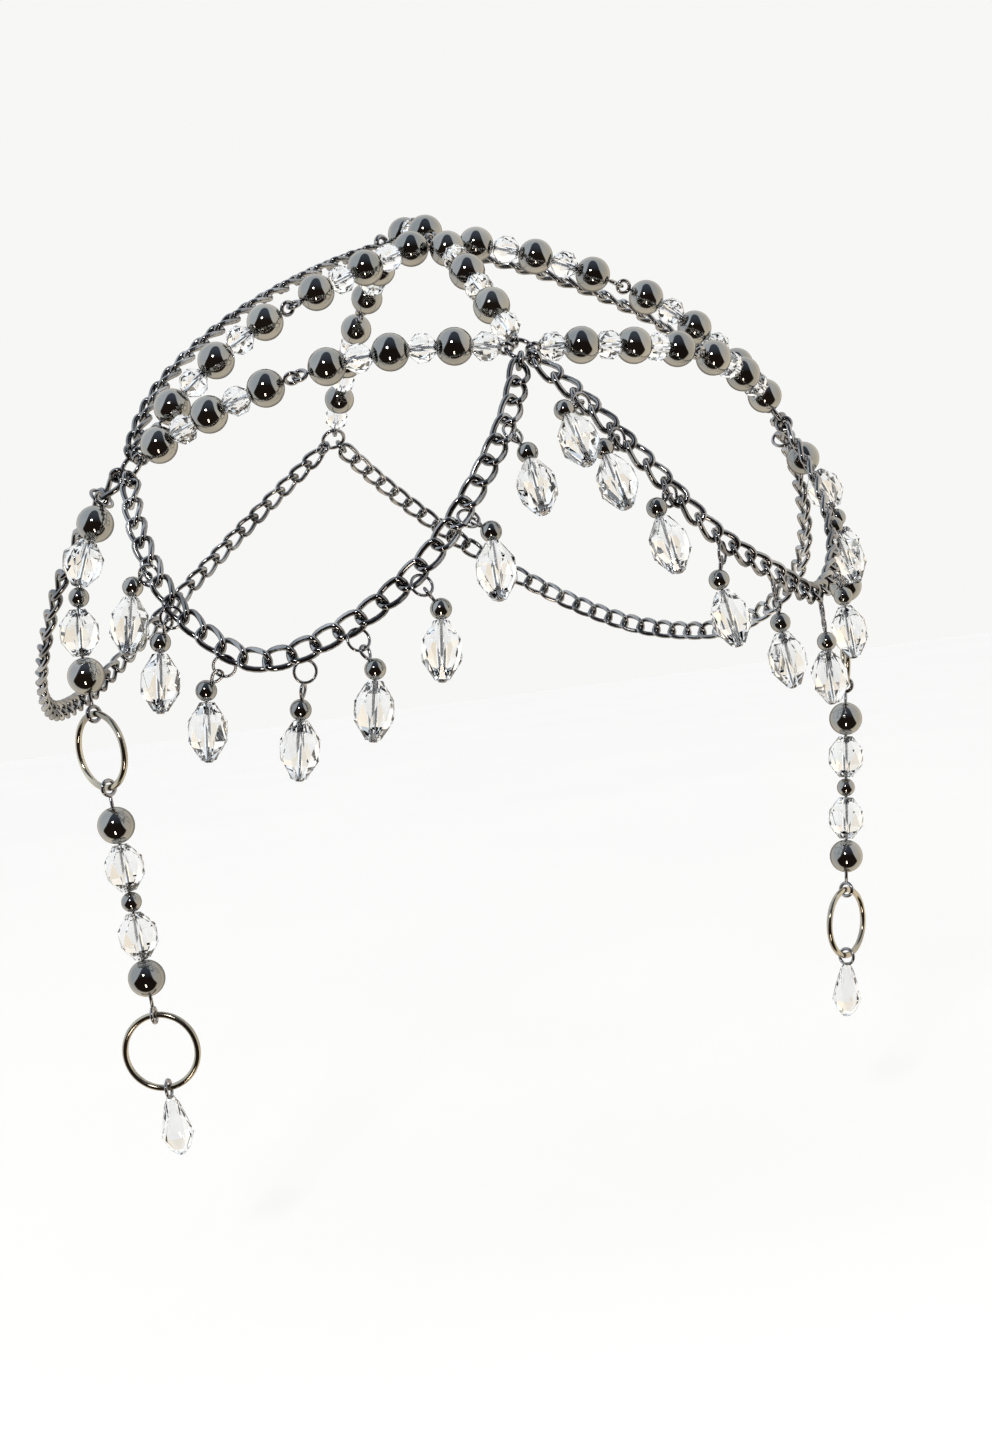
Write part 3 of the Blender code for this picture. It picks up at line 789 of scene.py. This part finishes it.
def curb_link(around, sides):
    """Rounded oval whose width is turned about its length, by minus to plus the twist."""
    turn = np.linspace(0, 2 * np.pi, around, endpoint=False)
    long = squared(np.cos(turn))
    wide = squared(np.sin(turn)) * (LINK_WIDTH - LINK_WIRE) / 2
    lean = LINK_TWIST * long
    length = long * (LINK_LENGTH - LINK_WIRE) / 2
    line = np.column_stack([length, wide * np.cos(lean), wide * np.sin(lean)])
    return wire_loop(line, -line, LINK_WIRE / 2, sides)


def link_places(route):
    """Distances of the links, at an even pitch between the two jump rings."""
    first = JUMP_RING_PLACE + (JUMP_RING_DIAMETER + LINK_LENGTH) / 2 - 2 * LINK_WIRE
    count = round((route.length - 2 * first) / LINK_PITCH) + 1
    return np.linspace(first, route.length - first, count)


chain_finish = gunmetal(
    "gunmetal_chain", dark=(0.15, 0.15, 0.152), pale=(0.43, 0.43, 0.43), rough=0.04, wear=0.08
)
link_shape = curb_link(around=24, sides=8)
jump_ring = round_loop((JUMP_RING_DIAMETER - LINK_WIRE) / 2, LINK_WIRE / 2, around=20, sides=8)
for name in ROUTES:
    if name in STRING_ITEMS:
        continue
    route = dome_route(name)
    places = link_places(route)
    links = copies(link_shape, route.at(places), route.axes(places))
    rings = copies(jump_ring, *end_loops(name, route, JUMP_RING_PLACE))
    piece(f"{name}_links", [links, rings], chain_finish, "gunmetal_chain", name)

# The drops. Sixteen hang under the front swags: a thin ring through a link, a pin with an eye
# loop, a small gunmetal bead and a long clear stone, held by the pin's flat head.

# Share of the swag's length where each drop hangs, from the front end
DROP_PLACES = {
    "left": (0.14, 0.26, 0.368, 0.469, 0.569, 0.674, 0.762, 0.848),
    "right": (0.08, 0.155, 0.258, 0.371, 0.495, 0.615, 0.72, 0.83),
}
CHAIN_DIAMETER = 3.4
CHAIN_END_CLEARANCE = 0.5
CHAIN_TRIM = JUNCTION_DIAMETER / 2 + CHAIN_END_CLEARANCE
CHAIN_RING_WIRE = 0.8
CHAIN_RING_CLEARANCE = 0.55
CHAIN_RING_MIDDLE = (CHAIN_DIAMETER + CHAIN_RING_WIRE) / 2 + CHAIN_RING_CLEARANCE
DROP_RING_DIAMETER = 5.2
DROP_RING_WIRE = 0.65
DROP_RING_TILT = 0.55
DROP_EYE_WIDTH = 3.0
DROP_EYE_LENGTH = 3.6
DROP_EYE_WIRE = 0.7
DROP_EYE_NARROWING = 0.45
DROP_EYE_SINK = 0.2
DROP_EYE_TURNS = (0.9, 0.15)
DROP_BEAD_DIAMETER = 4.4
DROP_BEAD_BORE = 0.9
DROP_STONE_WIDTH = 8.2
DROP_STONE_LENGTH = 11.8
DROP_STONE_TABLE = 3.2
DROP_STONE_BELT = 0.34
DROP_STONE_HEIGHT = 4.6
DROP_STONE_GAP = 0.2
DROP_LONG_STEM = 6.8
DROP_SHORT_STEM = 1.3
DROP_STEEP_SHARE = 0.5
DROP_BEAD_AWAY = 2.0
DROP_BEAD_SPREAD = 0.6
DROP_STONE_SPREAD = 0.25
DROP_PIN = 0.75
DROP_PIN_RISE = 0.3
PIN_HEAD_DIAMETER = 1.9
PIN_HEAD_THICKNESS = 0.5
PIN_HEAD_HOLE = 0.3
DOWN = np.array([0.0, 0.0, -1.0])


def hanging_place(route, distance):
    """Point of a chain, and the direction square to it that leads down the dome."""
    place = route.at(distance)
    away = unit(np.cross(outward(place), route.along(distance)))
    return place, away if away[2] < 0 else -away


def pin_head(sides):
    """Flat round head, a low disc with a hole for its pin."""
    half = PIN_HEAD_THICKNESS / 2
    hole = PIN_HEAD_HOLE / 2
    edge = PIN_HEAD_DIAMETER / 2
    outline = np.array(
        [(-half, hole), (-half, edge - half), (0.0, edge), (half, edge - half), (half, hole)]
    )
    points, faces = turned(outline, sides)
    return points, faces, np.ones(len(faces), bool)


def drop_points(swag, side, share):
    """Places of one drop: distance and way down at the swag, the dome's normal there, and the
    middles of bead and stone. The pin is long where the swag runs level, short where steep."""
    distance = CHAIN_TRIM + share * (swag.length - 2 * CHAIN_TRIM)
    place, away = hanging_place(swag, distance)
    normal = outward(place)
    lean = square_to(DOWN, normal)
    level = np.clip((away @ lean - DROP_STEEP_SHARE) / (1.0 - DROP_STEEP_SHARE), 0.0, 1.0)
    stem = DROP_SHORT_STEM + level * (DROP_LONG_STEM - DROP_SHORT_STEM)
    backward = np.cross(lean, normal) * level * SIDES[side]
    bead_way = unit(lean + away * DROP_BEAD_AWAY + backward * DROP_BEAD_SPREAD)
    bead = place + away * CHAIN_RING_MIDDLE + bead_way * (stem + DROP_BEAD_DIAMETER / 2)
    stone_reach = (DROP_BEAD_DIAMETER + DROP_STONE_LENGTH) / 2 + DROP_STONE_GAP
    stone = bead + unit(lean + backward * DROP_STONE_SPREAD) * stone_reach
    return distance, away, normal, bead, above_dome(unit(stone - DOME_MIDDLE), DROP_STONE_HEIGHT)


def drop_eye_loop(around, sides):
    """Eye loop drawn out to a drop shape: a circle whose lower half narrows toward the bead."""
    turn = np.linspace(0, 2 * np.pi, around, endpoint=False)
    along = np.cos(turn) * (DROP_EYE_LENGTH - DROP_EYE_WIRE) / 2
    share = 1.0 - DROP_EYE_NARROWING * (1 + np.cos(turn)) / 2
    across = np.sin(turn) * (DROP_EYE_WIDTH - DROP_EYE_WIRE) / 2 * share
    line = np.column_stack([along, across, np.zeros(around)])
    return wire_loop(line, -line, DROP_EYE_WIRE / 2, sides)


drop_ring = round_loop((DROP_RING_DIAMETER - DROP_RING_WIRE) / 2, DROP_RING_WIRE / 2, around=24, sides=8)
drop_eye = drop_eye_loop(around=20, sides=8)
drop_bead = drilled_ball(DROP_BEAD_DIAMETER, DROP_BEAD_BORE, rows=14, sides=24)
drop_stone = cut_stone(DROP_STONE_WIDTH, DROP_STONE_LENGTH, DROP_STONE_TABLE, DROP_STONE_BELT)
drop_head = pin_head(sides=14)
drop_finish = clear_stone("clear_drop", tint=(0.82, 0.82, 0.81), cloudy=0.02)

for side, shares in DROP_PLACES.items():
    swag = dome_route(f"front_swag_{side}")
    links = link_places(swag)
    for number, share in enumerate(shares, start=1):
        distance, away, normal, bead, stone = drop_points(swag, side, share)
        link_middle = swag.at(links[np.argmin(np.abs(links - distance))])
        arm = link_middle + away * (LINK_WIDTH - LINK_WIRE) / 2
        way = unit(bead - arm)
        sideways = np.cross(normal, way)
        eye_middle = bead - way * ((DROP_BEAD_DIAMETER + DROP_EYE_LENGTH) / 2 - DROP_EYE_SINK)
        eye_top = eye_middle - way * (DROP_EYE_LENGTH - DROP_EYE_WIRE) / 2
        eye_turn = DROP_EYE_TURNS[number % 2]
        eye_axis = sideways * math.cos(eye_turn) + normal * math.sin(eye_turn)
        ring_axis = square_to(normal + sideways * DROP_RING_TILT, way)
        stone_way = unit(stone - bead)
        stone_axes = axes_about(normal, stone_way)
        end = stone + stone_way * (DROP_STONE_LENGTH + PIN_HEAD_THICKNESS) / 2
        pin = Route([bead - way * (DROP_BEAD_DIAMETER / 2 + DROP_PIN_RISE), bead, stone, end])
        metal = [
            copies(drop_ring, (arm + eye_top) / 2, axes_about(ring_axis, way)),
            copies(drop_eye, eye_middle, axes_about(eye_axis, way)),
            wire_stretch(pin, WIRE_TIP, pin.length - WIRE_TIP, DROP_PIN / 2),
            copies(drop_head, end, stone_axes),
        ]
        node = f"drop_{side}_{number}"
        piece(f"{node}_pin", metal, wire_finish, "gunmetal_wire", node)
        piece(f"{node}_bead", [copies(drop_bead, bead, stone_axes)], ball_finish, "gunmetal_beads", node)
        piece(f"{node}_stone", [copies(drop_stone, stone, stone_axes)], drop_finish, "clear_stone", node)

# The side pendants. From each rear swag hangs a string of gunmetal balls and glass stones on
# wire, a large ring of round wire, a second string and ring, and a glass teardrop on a small
# link. A loop of wire holds each to the next.

PENDANT_PLACE = 7.0
PENDANT_BEARING = 71.5

# Height of the chain, then of the string at its two latitudes below it
PENDANT_HEIGHTS = (2.2, 4.3, 4.3)
PENDANT_LATITUDES = (16.5, 2.0)
PENDANT_SAMPLES = 80
PENDANT_STRAIGHT = 60.0
UPPER_POINTS = 60
LOWER_POINTS = 12
PENDANT_INWARD = {"left": 0.07, "right": 0.12}

# Bearings that the upper and the lower large ring face
PENDANT_FACINGS = {"left": (64, 28), "right": (-64, -30)}
PENDANT_BALL_DIAMETER = 8.0
PENDANT_SMALL_BEAD = 4.4
PENDANT_SMALL_BORE = 1.0
PENDANT_STONE_WIDTH = 8.4
PENDANT_STONE_LENGTH = 10.0
PENDANT_STONE_TABLE = 3.4
PENDANT_STONE_BELT = 0.36
PENDANT_BEAD_SPACE = 0.3
PENDANT_TOP_STEM = 1.0
PENDANT_STEM = 2.6
PENDANT_RING_DIAMETER = 17.5
PENDANT_RING_WIRE = 1.4
PENDANT_RING_MIDDLE = (PENDANT_RING_DIAMETER - PENDANT_RING_WIRE) / 2
PENDANT_LOOP_WIDTH = 4.1
PENDANT_LOOP_MIDDLE = (PENDANT_LOOP_WIDTH - LOOP_WIRE) / 2
TEARDROP_WIDTH = 7.0
TEARDROP_LENGTH = 13.0
TEARDROP_LINK_WIDTH = 4.6
TEARDROP_LINK_WIRE = 0.8
TEARDROP_LINK_MIDDLE = (TEARDROP_LINK_WIDTH - TEARDROP_LINK_WIRE) / 2
TEARDROP_LINK_CLEARANCE = 0.5

# Steps from one middle to the next, for ball, stone, small bead, stone and ball
STEP_TO_STONE = (PENDANT_BALL_DIAMETER + PENDANT_STONE_LENGTH) / 2 + PENDANT_BEAD_SPACE
STEP_TO_SMALL = (PENDANT_STONE_LENGTH + PENDANT_SMALL_BEAD) / 2 + PENDANT_BEAD_SPACE
SECTION_STEPS = np.array([0.0, STEP_TO_STONE, STEP_TO_SMALL, STEP_TO_SMALL, STEP_TO_STONE])
SECTION_LENGTH = SECTION_STEPS.sum() + PENDANT_BALL_DIAMETER

# Distance and radius of the teardrop's rows, as shares of its length and its width
TEARDROP_ROWS = np.array([(0.0, 0.10), (0.14, 0.24), (0.42, 0.40), (0.68, 0.50), (0.88, 0.34), (1.0, 0.12)])
TEARDROP_LAG = np.array([0.0, 0.5, 0.0, 0.5, 0.0, 0.5])


def upper_route(top, down, sign):
    """Line of the upper section: from the chain over the dome's side, then straight down."""
    low_ways = bearing_direction(sign * PENDANT_BEARING, np.array(PENDANT_LATITUDES))
    ways = np.vstack([unit(top - DOME_MIDDLE), low_ways])
    bent = over_dome(np.column_stack([ways, PENDANT_HEIGHTS]), PENDANT_SAMPLES)
    line = Route([top, *bent[2:], bent[-1] + down * PENDANT_STRAIGHT])
    length = PENDANT_TOP_STEM + SECTION_LENGTH + PENDANT_STEM
    return Route(line.at(np.linspace(0, length, UPPER_POINTS)))


def pendant_string(node, route, loops):
    """Beads, stones and wire of one pendant section, as three pieces. The last ball lies a
    stem above the lower end."""
    last = route.length - PENDANT_STEM - PENDANT_BALL_DIAMETER / 2
    places = last - SECTION_STEPS.sum() + np.cumsum(SECTION_STEPS)
    middles = route.at(places)
    axes = route.axes(places)
    beads = [
        copies(pendant_ball, middles[[0, 4]], axes[[0, 4]]),
        copies(pendant_small_bead, middles[2], axes[2]),
    ]
    stones = copies(pendant_stone, middles[[1, 3]], axes[[1, 3]])
    wire = wire_stretch(route, WIRE_TIP, route.length - WIRE_TIP, STRING_WIRE / 2)
    piece(f"{node}_balls", beads, ball_finish, "gunmetal_beads", node)
    piece(f"{node}_stones", [stones], drop_finish, "clear_stone", node)
    piece(f"{node}_wire", [wire, *loops], wire_finish, "gunmetal_wire", node)


def teardrop_stone(sides):
    """Pear-shaped stone: rows of corners down its length, every other one half a facet on,
    widest at two thirds and drawn in at both ends, where a fan of triangles closes it."""
    rows = TEARDROP_ROWS * (TEARDROP_LENGTH, TEARDROP_WIDTH)
    bands = len(rows) - 1
    points, faces = faceted(rows, TEARDROP_LAG, sides, bands)
    corner = np.arange(sides)
    foot = bands * sides + corner
    top = np.stack([np.full(sides, len(points)), np.roll(corner, -1), corner], -1)
    tip = np.stack([np.full(sides, len(points) + 1), foot, np.roll(foot, -1)], -1)
    points = np.concatenate([points, [[0.0, 0.0, 0.0], [TEARDROP_LENGTH, 0.0, 0.0]]])
    faces = facing_out(points, np.concatenate([faces, top, tip]))
    return points, faces, np.zeros(len(faces), bool)


ring_finish = gunmetal(
    "gunmetal_ring", dark=(0.25, 0.23, 0.19), pale=(0.60, 0.54, 0.42), rough=0.12, wear=0.08
)
pendant_stone = cut_stone(
    PENDANT_STONE_WIDTH, PENDANT_STONE_LENGTH, PENDANT_STONE_TABLE, PENDANT_STONE_BELT
)
pendant_ball = drilled_ball(PENDANT_BALL_DIAMETER, BALL_BORE, rows=18, sides=32)
pendant_small_bead = drilled_ball(PENDANT_SMALL_BEAD, PENDANT_SMALL_BORE, rows=14, sides=24)
pendant_loop = round_loop(PENDANT_LOOP_MIDDLE, LOOP_WIRE / 2, around=24, sides=8)
pendant_ring = round_loop(PENDANT_RING_MIDDLE, PENDANT_RING_WIRE / 2, around=64, sides=14)
chain_loop = round_loop(CHAIN_RING_MIDDLE, CHAIN_RING_WIRE / 2, around=24, sides=8)
teardrop_link = round_loop(TEARDROP_LINK_MIDDLE, TEARDROP_LINK_WIRE / 2, around=24, sides=8)
teardrop = teardrop_stone(sides=10)

for side, sign in SIDES.items():
    down = unit([sign * PENDANT_INWARD[side], 0.0, -1.0])
    upper_axis, lower_axis = (
        square_to(bearing_direction(facing, 0), down) for facing in PENDANT_FACINGS[side]
    )
    upper_loop_axes = axes_about(np.cross(down, upper_axis), down)
    lower_loop_axes = axes_about(np.cross(down, lower_axis), down)
    swag = dome_route(f"rear_swag_{side}")
    distance = CHAIN_TRIM + PENDANT_PLACE
    place, away = hanging_place(swag, distance)
    upper = upper_route(place + away * CHAIN_RING_MIDDLE, down, sign)
    upper_grip = upper.points[-1] + down * PENDANT_LOOP_MIDDLE
    upper_loops = [
        copies(chain_loop, place, axes_about(swag.along(distance), away)),
        copies(pendant_loop, upper_grip, upper_loop_axes),
    ]
    pendant_string(f"pendant_upper_{side}", upper, upper_loops)
    upper_middle = upper_grip + down * PENDANT_RING_MIDDLE
    lower_grip = upper_middle + down * PENDANT_RING_MIDDLE
    lower_top = lower_grip + down * PENDANT_LOOP_MIDDLE
    reaches = np.linspace(0, 2 * PENDANT_STEM + SECTION_LENGTH, LOWER_POINTS)
    lower = Route(lower_top + down * reaches[:, None])
    last_grip = lower.points[-1] + down * PENDANT_LOOP_MIDDLE
    lower_loops = [
        copies(pendant_loop, lower_grip, upper_loop_axes),
        copies(pendant_loop, last_grip, lower_loop_axes),
    ]
    pendant_string(f"pendant_lower_{side}", lower, lower_loops)
    lower_middle = last_grip + down * PENDANT_RING_MIDDLE
    for node, middle, axis in (
        (f"pendant_ring_upper_{side}", upper_middle, upper_axis),
        (f"pendant_ring_lower_{side}", lower_middle, lower_axis),
    ):
        ring = copies(pendant_ring, middle, axes_about(axis, down))
        piece(f"{node}_wire", [ring], ring_finish, "gunmetal_wire", node)
    wires = (TEARDROP_LINK_WIRE + PENDANT_RING_WIRE) / 2
    link_reach = PENDANT_RING_MIDDLE + TEARDROP_LINK_MIDDLE - wires - TEARDROP_LINK_CLEARANCE
    link_centre = lower_middle + down * link_reach
    link = copies(teardrop_link, link_centre, lower_loop_axes)
    stone_top = link_centre + down * (TEARDROP_LINK_MIDDLE - TEARDROP_LINK_WIRE / 2)
    stone_axes = np.stack([down, np.cross(lower_axis, down), lower_axis])
    stone = copies(teardrop, stone_top, stone_axes)
    piece(f"teardrop_{side}_link", [link], wire_finish, "gunmetal_wire", f"teardrop_{side}")
    piece(f"teardrop_{side}_stone", [stone], drop_finish, "clear_stone", f"teardrop_{side}")
